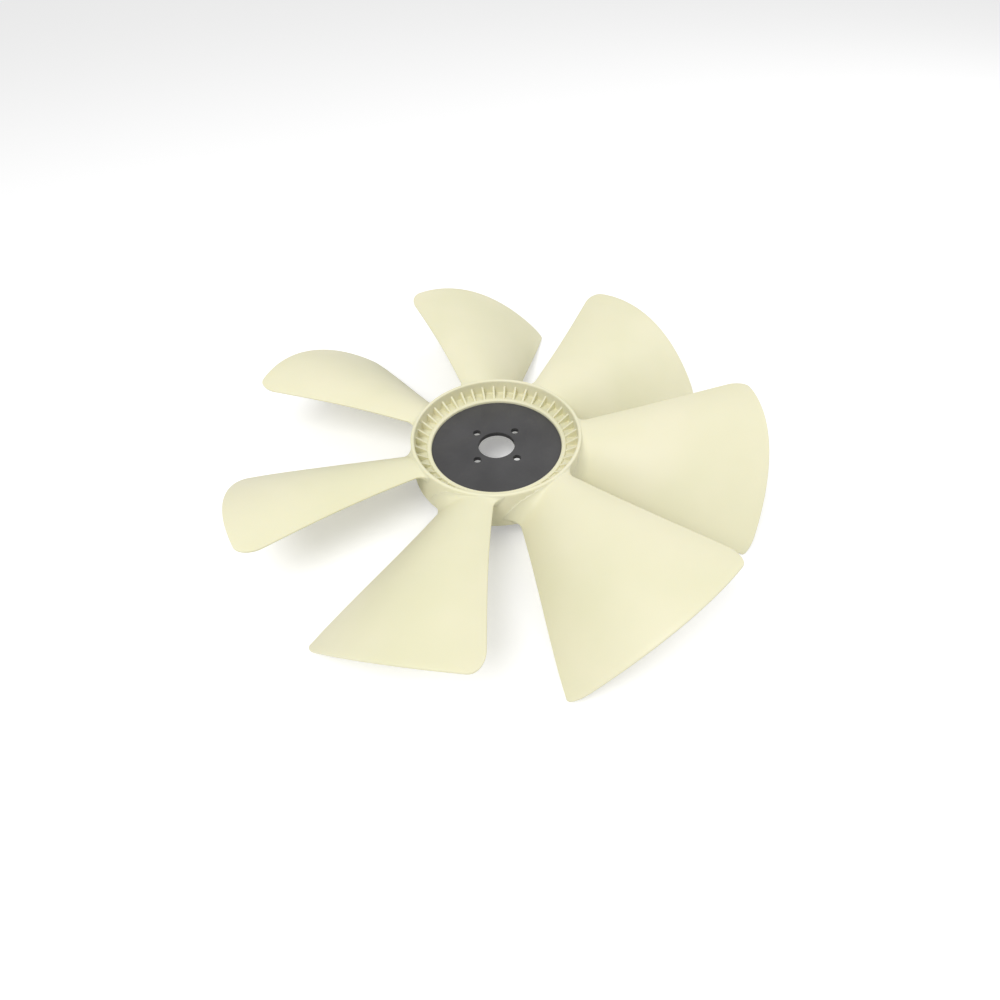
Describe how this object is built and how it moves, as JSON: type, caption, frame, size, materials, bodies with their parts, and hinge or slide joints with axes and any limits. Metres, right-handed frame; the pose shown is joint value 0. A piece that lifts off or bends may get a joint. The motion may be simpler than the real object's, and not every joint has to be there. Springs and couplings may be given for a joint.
{
  "type": "engine cooling fan",
  "caption": "Engine cooling fan: moulded nylon blades and ribbed hub around a flat steel plate with a pilot bore and bolt holes.",
  "frame": {"origin": "centre of the pilot bore on the steel plate's rear face, which seats on the drive", "axes": "+Z along the axis of rotation, out of the front face where air comes in; seen from the front, each blade's high leading edge is its counter-clockwise edge, so the fan turns counter-clockwise; the first blade's leading edge is 9.6 degrees from +X towards +Y"},
  "size_m": [0.56, 0.558, 0.0832],
  "materials": {
    "nylon": "satin natural nylon, cream",
    "plate_steel": "satin black coating"
  },
  "bodies": {
    "root": {"fan_body": "nylon", "hub_plate": "plate_steel"}
  },
  "joints": []
}
